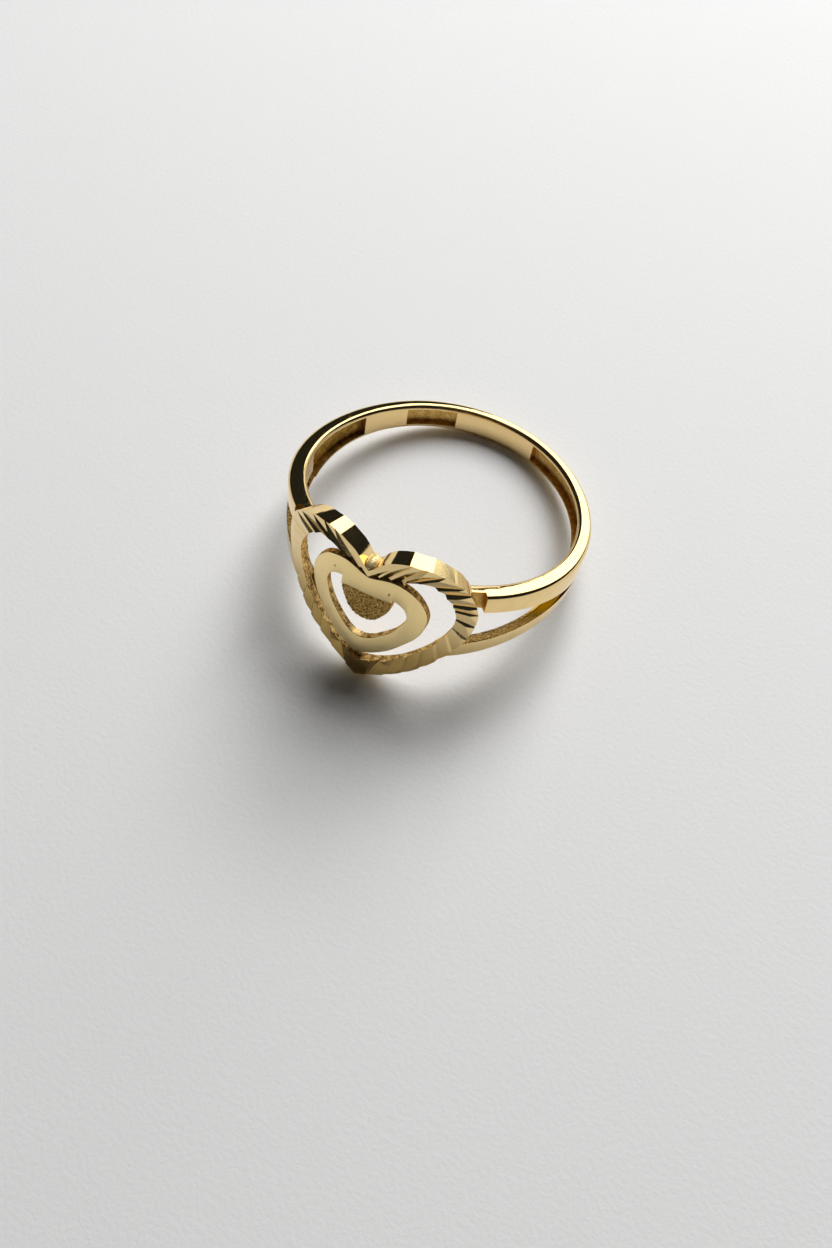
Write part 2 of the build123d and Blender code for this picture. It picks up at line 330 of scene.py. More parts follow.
def facet_gold():
    """Bright diamond-cut faces with the cutter's fine lines, darkened towards the tip with painted
    shade.
    """
    material = bpy.data.materials.new("facet_gold")
    tree = Tree(material)
    place = tree.ring_place()
    lines = tree.noise(place, (14, 3, 2.2), 3.0, 0.6)
    cloud = tree.noise(place, (1.3, 1.3, 1.3), 3.0, shift=2.0)
    up = tree.split(place)[2]
    # Painted shade: the faces turn deep amber towards the tip, standing in for the shadowed floor and
    # gold they mirror there
    tip_shade = tree.step(0 - up, -0.5, 3.5) * (cloud * 0.3 + 0.75)
    unshaded = tree.blend(cloud, (0.88, 0.65, 0.30), (0.91, 0.69, 0.34))
    colour = tree.blend(tip_shade, unshaded, (0.44, 0.285, 0.085))
    tree.metal(colour, lines * 0.08 + cloud * 0.10 + 0.05, tree.bump(lines, 0.005))
    return material


def satin_gold():
    """The fine matt face of the middle heart, with its nibs of solder, and of the filed facets."""
    material = bpy.data.materials.new("satin_gold")
    tree = Tree(material)
    place = tree.ring_place()
    fine = tree.noise(place, (22, 22, 22), 3.0, 0.6)
    cloud = tree.noise(place, (0.8, 0.8, 0.8), 3.0, shift=6.0)
    colour = tree.blend(cloud, (0.95, 0.715, 0.325), (0.99, 0.775, 0.38))
    x, _, z = tree.split(place)
    nibs = 0
    for across, up in NIBS:
        distance = ((x - across) ** 2 + (z - up) ** 2) ** 0.5
        nibs = nibs + tree.step(0 - distance, -NIB_RADIUS, 0)
    spotted = tree.blend(nibs, colour, (0.72, 0.47, 0.18))
    tree.metal(spotted, fine * 0.05 + cloud * 0.08 + 0.16, tree.bump(fine * 0.03 + nibs, 0.04))
    return material


def cast_gold(name, dark, light):
    """Unpolished walls as they left the mould: amber, slightly grainy, darker in the hollows."""
    material = bpy.data.materials.new(name)
    tree = Tree(material)
    place = tree.ring_place()
    grain = tree.noise(place, (9, 9, 9), 4.0, 0.65)
    lumps = tree.noise(place, (2.6, 2.6, 2.6), 2.0, shift=1.0)
    hollow = tree.step(grain * 0.6 + lumps * 0.4, 0.40, 0.62)
    colour = tree.blend(hollow, dark, light)
    relief = tree.bump(grain * 0.5 + lumps, 0.03)
    tree.metal(colour, grain * 0.20 + lumps * 0.20 + 0.22, relief, 0.75, (0.8, 0.55, 0.2))
    return material


def grained_gold():
    """Punched grain: bright crumbs with dark gaps between them."""
    material = bpy.data.materials.new("grained_gold")
    tree = Tree(material)
    place = tree.ring_place()
    crumbs = tree.noise(place, (7.0, 7.0, 7.0), 4.0, 0.7)
    dust = tree.noise(place, (17, 17, 17), 2.0, 0.6, 9.0)
    height = crumbs * 0.65 + dust * 0.35
    crumb = tree.step(height, 0.42, 0.50)
    body = tree.blend(crumb, (0.12, 0.055, 0.01), (0.70, 0.43, 0.12))
    colour = tree.blend(tree.step(height, 0.53, 0.58), body, (1.0, 0.80, 0.40))
    tree.metal(colour, dust * 0.3 + 0.24, tree.bump(height, 0.12), 1.0, (1, 0.75, 0.35))
    return material


def ledge_gold():
    """The lower arm's inner side: smooth and amber near the split, sandy towards the heart."""
    material = bpy.data.materials.new("ledge_gold")
    tree = Tree(material)
    place = tree.ring_place()
    back = tree.split(place)[1]
    sandy = tree.step(0 - back, 2.6, 5.4)
    crumbs = tree.noise(place, (8, 8, 8), 5.0, 0.7)
    raised = tree.step(crumbs, 0.42, 0.58)
    sand = tree.blend(raised, (0.28, 0.15, 0.035), (0.95, 0.71, 0.32))
    colour = tree.blend(sandy, (0.42, 0.22, 0.03), sand)
    tree.metal(colour, sandy * 0.16 + 0.20, tree.bump(crumbs * sandy, 0.13), 1.0, (0.6, 0.4, 0.12))
    return material


def solder_gold():
    """Solder that ran and set: smooth lumps with small pits."""
    material = bpy.data.materials.new("solder_gold")
    tree = Tree(material)
    place = tree.ring_place()
    lumps = tree.noise(place, (3.2, 3.2, 3.2), 2.0, 0.5)
    pits = tree.step(tree.noise(place, (12, 12, 12), 2.0, shift=5.0), 0.60, 0.70)
    colour = tree.blend(pits, (0.99, 0.77, 0.36), (0.50, 0.30, 0.09))
    tree.metal(colour, lumps * 0.14 + pits * 0.2 + 0.28, tree.bump(lumps - pits * 0.5, 0.02), 0.6)
    return material


def paper():
    """Pale card with a fine tooth."""
    material = bpy.data.materials.new("pale_paper")
    tree = Tree(material)
    place = tree.own_place()
    tooth = tree.noise(place, (3.6, 3.6, 3.6), 4.0, 0.6)
    cloud = tree.noise(place, (0.25, 0.25, 0.25), 3.0, shift=2.0)
    colour = tree.blend(tooth * 0.6 + cloud * 0.4, (0.855, 0.855, 0.850), (0.895, 0.893, 0.885))
    tree.surface(colour, 0.85, tree.bump(tooth, 0.02), {"Specular IOR Level": 0.2})
    return material


def select_only(piece):
    bpy.ops.object.select_all(action="DESELECT")
    piece.select_set(True)
    bpy.context.view_layer.objects.active = piece


def settle(name, gold):
    """Names the new primitive, applies its place and gives it its metal."""
    piece = bpy.context.object
    piece.name = name
    bpy.ops.object.transform_apply()
    piece.data.materials.append(gold)
    return piece


def cylinder(radius, middle_y, gold, top=REACH / 2, bottom=-REACH / 2):
    """Upright cylinder with its middle at middle_y."""
    bpy.ops.object.select_all(action="DESELECT")
    bpy.ops.mesh.primitive_cylinder_add(
        vertices=ROUND_SIDES,
        radius=radius,
        depth=top - bottom,
        location=(0, middle_y, (top + bottom) / 2),
    )
    return settle("cylinder", gold)


# Turns that stand an outline up, so that it is seen in the view that each names
FRONT_VIEW = Matrix(((1, 0, 0, 0), (0, 0, -1, 0), (0, 1, 0, 0), (0, 0, 0, 1)))
SIDE_VIEW = Matrix(((0, 0, 1, 0), (1, 0, 0, 0), (0, 1, 0, 0), (0, 0, 0, 1)))
TOP_VIEW = Matrix.Identity(4)


def turn_outward(piece):
    """Makes the piece's faces look outward."""
    select_only(piece)
    bpy.ops.object.mode_set(mode="EDIT")
    bpy.ops.mesh.select_all(action="SELECT")
    bpy.ops.mesh.normals_make_consistent(inside=False)
    bpy.ops.object.mode_set(mode="OBJECT")


def plate(points, view, gold, low=-REACH, high=REACH, curved=False, spread=1.0):
    """A flat outline, filled and extruded from low to high, where it is spread times as wide."""
    curve = bpy.data.curves.new("outline", "CURVE")
    curve.dimensions = "2D"
    curve.fill_mode = "NONE"
    curve.resolution_u = CURVE_STEPS
    spline = curve.splines.new("BEZIER" if curved else "POLY")
    knots = spline.bezier_points if curved else spline.points
    knots.add(len(points) - 1)
    for knot, (x, y) in zip(knots, points):
        if curved:
            knot.co = (x, y, 0)
            at_crease = abs(x) < TINY
            knot.handle_left_type = knot.handle_right_type = "FREE" if at_crease else "AUTO"
        else:
            knot.co = (x, y, 0, 1)
    if curved:
        lean_on_neighbours(knots)
    spline.use_cyclic_u = True
    piece = bpy.data.objects.new("plate", curve)
    bpy.context.scene.collection.objects.link(piece)
    select_only(piece)
    bpy.ops.object.convert(target="MESH")
    bpy.ops.object.mode_set(mode="EDIT")
    bpy.ops.mesh.select_all(action="SELECT")
    bpy.ops.mesh.edge_face_add()
    bpy.ops.transform.translate(value=(0, 0, low))
    bpy.ops.mesh.extrude_region_move(TRANSFORM_OT_translate={"value": (0, 0, high - low)})
    bpy.ops.transform.resize(value=(spread, 1, 1), center_override=(0, 0, high))
    bpy.ops.object.mode_set(mode="OBJECT")
    turn_outward(piece)
    piece.data.transform(view)
    piece.data.materials.append(gold)
    return piece


def lean_on_neighbours(knots):
    """Points the handles at the cleft and the tip a third of the way to the points beside them."""
    count = len(knots)
    for place, knot in enumerate(knots):
        if knot.handle_left_type != "FREE":
            continue
        knot.handle_left = knot.co.lerp(knots[place - 1].co, 1 / 3)
        knot.handle_right = knot.co.lerp(knots[(place + 1) % count].co, 1 / 3)


def combine(piece, tool, operation, solver="EXACT"):
    """Cuts, joins or trims piece with tool, which is used up."""
    select_only(piece)
    change = piece.modifiers.new("combine", "BOOLEAN")
    change.operation = operation
    change.object = tool
    change.solver = solver
    change.material_mode = "TRANSFER"
    bpy.ops.object.modifier_apply(modifier=change.name)
    bpy.data.objects.remove(tool)
    return piece


def cut(piece, tool, solver="EXACT"):
    return combine(piece, tool, "DIFFERENCE", solver)


def trim(piece, tool):
    return combine(piece, tool, "INTERSECT")


def join(piece, tool):
    return combine(piece, tool, "UNION")


def from_axis(place, middle_y=0.0):
    """Distance of a point from an upright axis at middle_y."""
    return hypot(place.x, place.y - middle_y)


def on_face(place, radius):
    """Whether a point lies on the round face of that radius about the shank's outer middle."""
    return from_axis(place, OUTER_Y) > radius - NEAR


def round_edges(piece, width, segments, wanted, merge=0.05):
    """Bevels the sharp edges whose middle is wanted, once points nearer than merge are joined."""
    select_only(piece)
    bpy.ops.object.mode_set(mode="EDIT")
    bpy.ops.mesh.select_mode(type="EDGE")
    bpy.ops.mesh.select_all(action="SELECT")
    bpy.ops.mesh.remove_doubles(threshold=merge)
    bpy.ops.mesh.select_all(action="DESELECT")
    mesh = bmesh.from_edit_mesh(piece.data)
    for edge in mesh.edges:
        middle = (edge.verts[0].co + edge.verts[1].co) / 2
        sharp = len(edge.link_faces) == 2 and edge.calc_face_angle(0) > SHARP
        edge.select_set(sharp and wanted(middle))
    bmesh.update_edit_mesh(piece.data)
    bpy.ops.mesh.bevel(offset=width, segments=segments, affect="EDGES", clamp_overlap=False)
    bpy.ops.object.mode_set(mode="OBJECT")


def give_metal(piece, metal, wanted):
    """Gives another metal to the faces whose middle and normal are wanted."""
    piece.data.materials.append(metal)
    place = len(piece.data.materials) - 1
    for face in piece.data.polygons:
        if wanted(face.center, face.normal):
            face.material_index = place


def draw_out(piece, axis_name, distance, share):
    """Moves every point along an axis by its share of the distance."""
    select_only(piece)
    weights = piece.vertex_groups.new(name="share")
    for vertex in piece.data.vertices:
        weights.add([vertex.index], share(vertex.co), "REPLACE")
    drawn = piece.modifiers.new("drawn_out", "DISPLACE")
    drawn.direction = axis_name
    drawn.mid_level = 0
    drawn.strength = distance
    drawn.vertex_group = weights.name
    bpy.ops.object.modifier_apply(modifier=drawn.name)
    piece.vertex_groups.clear()


def flare(y):
    """How far the shank has widened beside the point y, from 0 to 1 under the heart."""
    return (max(FLARE_START - y, 0) / (FLARE_START - FLARE_END)) ** 2


def edge_height(y, climb):
    """Distance of a shank edge from the zero line, beside the point y."""
    return HALF_SHANK + climb * flare(y)


def shank_side(inset, gold):
    """The shank's outline seen from the side, as a trimming plate."""
    run = FLARE_START - FLARE_END
    stations = [FLARE_END + run * step / SIDE_STEPS for step in range(SIDE_STEPS + 1)] + [REACH]
    top = [(y, edge_height(y, SHOULDER_RISE) - inset) for y in stations]
    bottom = [(y, inset - edge_height(y, SHOULDER_DROP)) for y in reversed(stations)]
    return plate(top + bottom, SIDE_VIEW, gold)


def make_band(polished):
    """An even ring with rounded rims, whose front is then drawn out upward and downward."""
    outside = (0, OUTER_Y, -HALF_SHANK)
    inside = (0, 0, -HALF_SHANK)
    bpy.ops.object.select_all(action="DESELECT")
    bpy.ops.mesh.primitive_circle_add(vertices=ROUND_SIDES, radius=OUTER_R, location=outside)
    piece = settle("band", polished)
    bpy.ops.object.mode_set(mode="EDIT")
    bpy.ops.mesh.primitive_circle_add(vertices=ROUND_SIDES, radius=FINGER_R, location=inside)
    bpy.ops.mesh.select_all(action="SELECT")
    bpy.ops.mesh.bridge_edge_loops()
    bpy.ops.mesh.select_all(action="SELECT")
    bpy.ops.mesh.extrude_region_move(TRANSFORM_OT_translate={"value": (0, 0, 2 * HALF_SHANK)})
    bpy.ops.object.mode_set(mode="OBJECT")
    turn_outward(piece)
    round_edges(piece, RIM_ROUND, segments=5, wanted=lambda p: on_face(p, OUTER_R))
    round_edges(piece, INNER_ROUND, segments=4, wanted=lambda p: from_axis(p) < FINGER_R + NEAR)
    draw_out(piece, "Z", SHOULDER_RISE, lambda p: flare(p.y) if p.z > 0 else 0)
    draw_out(piece, "Z", -SHOULDER_DROP, lambda p: flare(p.y) if p.z < 0 else 0)
    return piece


def sector(start, end, gold):
    """A slice of the ring seen from above, in degrees from the back towards +X."""
    turns = [radians(start), radians((start + end) / 2), radians(end)]
    rim = [(REACH * sin(turn), REACH * cos(turn)) for turn in turns]
    return plate([(0, 0)] + rim, TOP_VIEW, gold)


GAP_TOP = edge_height(FRONT_Y, SHOULDER_RISE) - UPPER_ARM
GAP_BOTTOM = LOWER_ARM - edge_height(FRONT_Y, SHOULDER_DROP)


def gap_bottom_at(y):
    """Height of the lower arm's top edge, a bowed line from the split to the front."""
    share = (SPLIT.x - y) / (SPLIT.x - FRONT_Y)
    return SPLIT.y + (GAP_BOTTOM - SPLIT.y) * share + 4 * SPLIT_BOW * share * (1 - share)


def cut_pockets(piece, cast, pocket_shade):
    for start, end, is_shaded in POCKETS:
        # Flagged pockets take the darker copy of the cast metal, which is painted shade
        metal = pocket_shade if is_shaded else cast
        pocket = cylinder(FINGER_R + POCKET_DEPTH, 0, metal)
        trim(pocket, shank_side(POCKET_RIM, metal))
        trim(pocket, sector(start, end, metal))
        cut(piece, pocket)


def split_shoulders(piece, ledge):
    """Cuts the gap between the upper arms and the lower ones."""
    front = FRONT_Y - GAP_RUN
    run = front - SPLIT.x
    stations = [SPLIT.x + run * step / GAP_STEPS for step in range(GAP_STEPS + 1)]
    lower_side = [(y, gap_bottom_at(y)) for y in stations]
    cut(piece, plate(lower_side + [(front, GAP_TOP)], SIDE_VIEW, ledge))


def slope_lower_arms(piece, ledge):
    """Slopes the lower arms' tops inward and thins the arms from inside, along the gap's fall."""
    fall = atan2(SPLIT.y - GAP_BOTTOM, SPLIT.x - FRONT_Y)
    height = SPLIT_BOW + RAMP_DEPTH
    middle_y = OUTER_Y - SPLIT.x
    bpy.ops.object.select_all(action="DESELECT")
    bpy.ops.mesh.primitive_cone_add(
        vertices=ROUND_SIDES,
        radius1=OUTER_R - height * tan(RAMP_TURN),
        radius2=OUTER_R,
        depth=height,
        location=(0, middle_y, SPLIT_BOW - height / 2),
    )
    ramp = settle("ramp", ledge)
    join(ramp, cylinder(OUTER_R - LOWER_ARM_WALL, middle_y, ledge, SPLIT_BOW - RAMP_OVERLAP, -REACH))
    behind = ((-REACH, -RAMP_START), (REACH, -RAMP_START), (REACH, REACH), (-REACH, REACH))
    cut(ramp, plate(behind, TOP_VIEW, ledge))
    ramp.data.transform(Matrix.Translation((0, SPLIT.x, SPLIT.y)) @ Matrix.Rotation(fall, 4, "X"))
    cut(piece, ramp)


def step_upper_arms(piece, cast):
    """Steps the upper arms down where they are soldered to the heart."""
    notch = cylinder(REACH, OUTER_Y, cast, REACH, 0)
    cut(notch, cylinder(OUTER_R - NOTCH_DEPTH, OUTER_Y, cast))
    trim(notch, sector(180 - NOTCH_END, 180 + NOTCH_END, cast))
    cut(piece, notch)


def clear_heart(piece, polished):
    """Takes the shank away behind the heart, all but the overlap that is soldered, and in the cleft."""
    right, left = scaled_rows(OUTER_POINTS, OUTER_LEFT, 1 - SOLDER_OVERLAP / HALF)
    cut(piece, bent_heart(right, left, polished))
    side = HALF / 2
    block = ((-side, -CLEFT), (side, -CLEFT), (side, CLEFT), (-side, CLEFT))
    cut(piece, plate(block, FRONT_VIEW, polished, 0, REACH))


def make_shank(polished, satin, cast, pocket_shade, ledge):
    piece = make_band(polished)
    give_metal(piece, satin, lambda p, n: from_axis(p) < FINGER_R + NEAR / 2 and abs(n.z) < UPRIGHT)
    cut_pockets(piece, cast, pocket_shade)
    split_shoulders(piece, ledge)
    slope_lower_arms(piece, ledge)
    step_upper_arms(piece, cast)
    clear_heart(piece, polished)
    return piece


# Outlines of the hearts from cleft to tip, in millimetres: the frame is a little fuller on the left,
# and the two smaller hearts are even
OUTER_POINTS = (
    (0, CLEFT),
    (0.27 * HALF, 0.978 * LOBE),
    (0.58 * HALF, 0.973 * LOBE),
    (0.97 * HALF, 0.44 * LOBE),
    (0.99 * HALF, 0.02 * TIP),
    (0.72 * HALF, 0.51 * TIP),
    (0.25 * HALF, 0.87 * TIP),
    (0, TIP),
)
OUTER_LEFT = (
    (0, CLEFT),
    (0.27 * HALF, 0.98 * LOBE),
    (0.58 * HALF, 0.989 * LOBE),
    (0.88 * HALF, 0.73 * LOBE),
    (1.03 * HALF, 0.36 * LOBE),
    (1.03 * HALF, 0.04 * TIP),
    (0.76 * HALF, 0.48 * TIP),
    (0.35 * HALF, 0.77 * TIP),
    (0, TIP),
)
INNER_POINTS = (
    (0, 0.72 * INNER_TOP),
    (0.38 * INNER_HALF, 0.88 * INNER_TOP),
    (0.67 * INNER_HALF, INNER_TOP),
    (0.97 * INNER_HALF, 0.52 * INNER_TOP),
    (0.97 * INNER_HALF, 0.08 * INNER_TIP),
    (0.64 * INNER_HALF, 0.60 * INNER_TIP),
    (0.20 * INNER_HALF, 0.92 * INNER_TIP),
    (0, INNER_TIP),
)
INNER_LEFT = (
    (0, 0.72 * INNER_TOP),
    (0.38 * INNER_HALF, 0.88 * INNER_TOP),
    (0.66 * INNER_HALF, INNER_TOP),
    (0.98 * INNER_HALF, 0.48 * INNER_TOP),
    (1.01 * INNER_HALF, 0.08 * INNER_TIP),
    (0.68 * INNER_HALF, 0.60 * INNER_TIP),
    (0.24 * INNER_HALF, 0.86 * INNER_TIP),
    (0, INNER_TIP),
)
MIDDLE_POINTS = (
    (0, 0.89 * MIDDLE_TOP),
    (0.50 * MIDDLE_HALF, MIDDLE_TOP),
    (0.90 * MIDDLE_HALF, 0.58 * MIDDLE_TOP),
    (0.99 * MIDDLE_HALF, 0.02 * MIDDLE_TIP),
    (0.71 * MIDDLE_HALF, 0.50 * MIDDLE_TIP),
    (0.30 * MIDDLE_HALF, 0.86 * MIDDLE_TIP),
    (0, MIDDLE_TIP),
)
WINDOW_POINTS = (
    (0, 0.80 * WINDOW_TOP),
    (0.62 * WINDOW_HALF, WINDOW_TOP),
    (0.97 * WINDOW_HALF, 0.52 * WINDOW_TOP),
    (0.91 * WINDOW_HALF, 0.14 * WINDOW_TIP),
    (0.52 * WINDOW_HALF, 0.68 * WINDOW_TIP),
    (0.16 * WINDOW_HALF, 0.97 * WINDOW_TIP),
    (0, WINDOW_TIP),
)
CENTRE_POINTS = (
    (0, 1.20 * WINDOW_TOP),
    (0.88 * CENTRE_HALF, 1.12 * WINDOW_TOP),
    (CENTRE_HALF, 0.62 * WINDOW_TOP),
    (0.76 * CENTRE_HALF, 0.10 * CENTRE_TIP),
    (0.38 * CENTRE_HALF, 0.84 * CENTRE_TIP),
    (0, CENTRE_TIP),
)


def face_depth(x):
    """Distance of the heart's face from the finger axis, seen from above, at the width x."""
    return sqrt(FACE_R**2 - x**2) - OUTER_Y


def heart_outline(right, left=None):
    """The whole outline: down the right row and up the left one, or up the right one again."""
    rising = [(-x, z) for x, z in reversed((left or right)[1:-1])]
    return list(right) + rising


def scaled_rows(right, left, scale):
    """The right and the left row of an outline, scaled."""
    return [[(x * scale, z * scale) for x, z in row] for row in (right, left)]


def heart_plate(outline, gold, near=0.0):
    return plate(outline, FRONT_VIEW, gold, near, REACH, curved=True)


def bent_heart(right, left, gold):
    """A heart whose outline lies on the face and whose walls run straight to the finger axis."""
    outline = [(x * HEART_LOW / face_depth(x), z) for x, z in heart_outline(right, left)]
    return plate(outline, FRONT_VIEW, gold, HEART_LOW, HEART_HIGH, True, HEART_HIGH / HEART_LOW)


def curved_layer(face_radius, face_gold, back_gold, back_radius=BACK_R, back_middle=0.0):
    """The curved layer in front of the finger that the hearts are cut from."""
    layer = cylinder(face_radius, OUTER_Y, face_gold)
    cut(layer, cylinder(back_radius, back_middle, back_gold))
    return layer


def even_layer(face_radius, face_gold, back_gold):
    """A curved layer that is as thick as the two smaller hearts all over."""
    return curved_layer(face_radius, face_gold, back_gold, face_radius - MIDDLE_WALL, OUTER_Y)


# Cuts from cleft to tip, as shares of the half width and of the lobe's or the tip's height: where
# they start at the opening, where they end at the rim, the room for the gentle flank, and how
# deep they are on the left and on the right
LOBE_CUTS = (
    ((0.07, 0.58), (0.17, 0.77), 0.4, 0.22, 0.18),
    ((0.19, 0.65), (0.36, 0.94), 0.6, 0.32, 0.22),
    ((0.32, 0.68), (0.49, 0.94), 0.8, 0.32, 0.26),
    ((0.43, 0.70), (0.63, 0.88), 0.8, 0.30, 0.26),
    ((0.57, 0.68), (0.80, 0.74), 1.0, 0.24, 0.24),
    ((0.68, 0.60), (0.90, 0.63), 0.8, 0.12, 0.20),
    ((0.76, 0.44), (0.99, 0.41), 0.8, 0.08, 0.18),
    ((0.80, 0.35), (0.98, 0.28), 0.6, 0.07, 0.16),
    ((0.82, 0.20), (1.00, 0.05), 1.0, 0.07, 0.16),
)
LIMB_CUTS = (
    ((0.83, 0.00), (0.96, 0.13), 1.0, 0.10, 0.20),
    ((0.79, 0.08), (0.89, 0.37), 1.2, 0.14, 0.24),
    ((0.72, 0.23), (0.77, 0.48), 1.2, 0.20, 0.24),
    ((0.62, 0.34), (0.63, 0.60), 1.2, 0.24, 0.24),
    ((0.51, 0.46), (0.48, 0.69), 1.2, 0.24, 0.24),
    ((0.38, 0.58), (0.32, 0.79), 1.2, 0.24, 0.24),
    ((0.21, 0.74), (0.13, 0.92), 1.2, 0.24, 0.24),
)


def face_cut(inner, outer, room, depth, gold):
    """A cutter with a V section, deepest at inner and shallower at outer, both on the face.

    The section is drawn to twice the depth, so that both flanks come out of the face."""
    bottom = Vector((inner[0], -face_depth(inner[0]), inner[1]))
    end = Vector((outer[0], -face_depth(outer[0]), outer[1]))
    steep = CUT_STEEP + depth
    lean = asin((inner[0] + outer[0]) / 2 / FACE_R)
    outward = Vector((sin(lean), -cos(lean), 0))
    bottom -= outward * depth
    end -= outward * depth * CUT_END
    along = (end - bottom).normalized()
    across = outward.cross(along) * (1 if outer[0] > 0 else -1)
    height = (outward - along * outward.dot(along)).normalized()
    section = ((-2 * steep, 2 * depth), (0, 0), (2 * CUT_GENTLE * room, 2 * depth))
    tool = plate(section, TOP_VIEW, gold, -CUT_RUN, (end - bottom).length + CUT_RUN)
    stand = Matrix((across, height, along)).transposed().to_4x4()
    tool.data.transform(Matrix.Translation(bottom) @ stand)
    turn_outward(tool)
    return tool


# Flat facets on the outer wall of the lobes: the side, the direction that each looks in, in degrees
# from straight up to that side, how deep it is cut, and whether it is polished bright. They are laid
# out at the heart's inner end
WALL_FACETS = (
    (-1, 66, 0.03, False),
    (-1, 42, 0.04, True),
    (-1, 18, 0.05, True),
    (-1, -10, 0.03, True),
    (-1, -36, 0.03, True),
    (1, 70, 0.03, False),
    (1, 50, 0.03, False),
    (1, 30, 0.03, False),
    (1, 8, 0.05, True),
    (1, -18, 0.03, True),
)


def wall_facet(lobe, side, turn, depth, gold):
    """A block that takes one flat slice off the outer wall of a lobe."""
    look = Vector((side * sin(radians(turn)), cos(radians(turn))))
    along = Vector((look.y, -look.x)) * FACET_REACH
    foot = max(lobe, key=look.dot) - look * depth
    top = foot + look * FACET_RISE
    near = HEART_LOW - FACET_RUN
    far = HEART_HIGH + FACET_RUN
    corners = (foot - along, foot + along, top + along, top - along)
    block = [(corner.x * near / HEART_LOW, corner.y) for corner in corners]
    return plate(block, FRONT_VIEW, gold, near, far, spread=far / near)


def beside_opening(place):
    """Whether a point of the face lies at the rim of the frame's opening, and not at its outer one."""
    margin = 1.07
    middle = (INNER_TOP + INNER_TIP) / 2
    x = place.x / margin
    z = middle + (place.z - middle) / margin
    inside = False
    corners = heart_outline(INNER_POINTS, INNER_LEFT)
    for (x1, z1), (x2, z2) in zip(corners, corners[1:] + corners[:1]):
        if (z1 > z) != (z2 > z) and x < x1 + (z - z1) / (z2 - z1) * (x2 - x1):
            inside = not inside
    return inside


def flatten_lobes(piece, polished, filed):
    """Cuts the wall facets, each placed by the points of its own lobe at the heart's inner end."""
    from_middle = 0.15
    above_middle = 0.3
    inner_end = -HEART_LOW - NEAR / 2
    ends = [vertex.co.copy() for vertex in piece.data.vertices if vertex.co.y > inner_end]
    upper = [end for end in ends if end.z > above_middle]
    for side, turn, depth, shines in WALL_FACETS:
        lobe = [Vector((end.x, end.z)) for end in upper if end.x * side > from_middle]
        cut(piece, wall_facet(lobe, side, turn, depth, polished if shines else filed))


def cut_face(piece, bright):
    """Makes the cuts across the frame's face."""
    for side in (1, -1):
        for cuts, height in ((LOBE_CUTS, LOBE), (LIMB_CUTS, TIP)):
            for inner, outer, room, left, right in cuts:
                ends = [(side * across * HALF, up * height) for across, up in (inner, outer)]
                depth = right if side > 0 else left
                cut(piece, face_cut(ends[0], ends[1], room, depth, bright), "MANIFOLD")


def make_frame(bright, polished, filed, cast):
    piece = bent_heart(OUTER_POINTS, OUTER_LEFT, polished)
    flatten_lobes(piece, polished, filed)
    cut(piece, heart_plate(heart_outline(INNER_POINTS, INNER_LEFT), cast, -REACH))
    trim(piece, curved_layer(FACE_R, bright, cast))
    right, left = scaled_rows(INNER_POINTS, INNER_LEFT, FLANGE_SPREAD)
    behind = heart_plate(heart_outline(right, left), cast)
    cut(piece, trim(behind, cylinder(FACE_R - FLANGE_WALL, OUTER_Y, cast)))
    round_edges(
        piece,
        OPENING_ROUND,
        segments=2,
        wanted=lambda p: on_face(p, FACE_R) and beside_opening(p),
    )
    cut_face(piece, bright)
    return piece


def lean_left(piece):
    """The two smaller hearts lean a little, about the top of the window."""
    middle = Matrix.Translation((0, 0, WINDOW_TOP))
    piece.data.transform(middle @ Matrix.Rotation(MIDDLE_TURN, 4, "Y") @ middle.inverted())
    return piece


def curve_face(piece, radius):
    """Cuts a flat piece into upright strips and curves it like the shank."""
    select_only(piece)
    widest = max(abs(vertex.co.x) for vertex in piece.data.vertices)
    count = int(widest / STRIP)
    bpy.ops.object.mode_set(mode="EDIT")
    for place in range(-count, count + 1):
        across = (place + STRIP_SHIFT) * STRIP
        bpy.ops.mesh.select_all(action="SELECT")
        bpy.ops.mesh.bisect(plane_co=(across, 0, 0), plane_no=(1, 0, 0))
    bpy.ops.object.mode_set(mode="OBJECT")
    draw_out(piece, "Y", radius, lambda p: 1 - sqrt(1 - (p.x / radius) ** 2))
    piece.data.transform(Matrix.Translation((0, OUTER_Y - radius, 0)))
    return piece


def make_middle_heart(satin, cast):
    """Made flat with its front rims rounded, and then curved."""
    piece = plate(heart_outline(MIDDLE_POINTS), FRONT_VIEW, satin, -MIDDLE_WALL, 0, curved=True)
    outline = heart_outline(WINDOW_POINTS)
    window = plate(outline, FRONT_VIEW, satin, -WINDOW_REACH, WINDOW_REACH, curved=True)
    cut(lean_left(window), centre_part(REACH, 0, satin, -CROWN_REACH, CROWN_REACH))
    cut(lean_left(piece), window)
    round_edges(
        piece,
        MIDDLE_ROUND,
        segments=3,
        wanted=lambda p: p.y < NEAR / 2,
        merge=MIDDLE_ROUND,
    )
    give_metal(piece, cast, lambda p, n: p.y > MIDDLE_ROUND + NEAR)
    return curve_face(piece, FACE_R + MIDDLE_PROUD)


def raise_pattern(piece, size, depth, middle=0.5, weights=""):
    """Raises a cloudy pattern, on the weighted points alone where there are weights."""
    pattern = bpy.data.textures.new("uneven", "CLOUDS")
    pattern.noise_scale = size
    pattern.noise_depth = 2
    raised = piece.modifiers.new("uneven", "DISPLACE")
    raised.texture = pattern
    raised.mid_level = middle
    raised.strength = depth
    raised.vertex_group = weights
    bpy.ops.object.modifier_apply(modifier=raised.name)


def roughen(piece, wanted):
    """Remeshes the piece finely and raises a grain on the part that is wanted."""
    select_only(piece)
    piece.data.remesh_voxel_size = GRAIN_CELL
    bpy.ops.object.voxel_remesh()
    face = piece.vertex_groups.new(name="face")
    face.add([vertex.index for vertex in piece.data.vertices if wanted(vertex.co)], 1.0, "REPLACE")
    raise_pattern(piece, GRAIN_SIZE, GRAIN_DEPTH, GRAIN_MIDDLE, face.name)
    piece.vertex_groups.clear()
    return piece


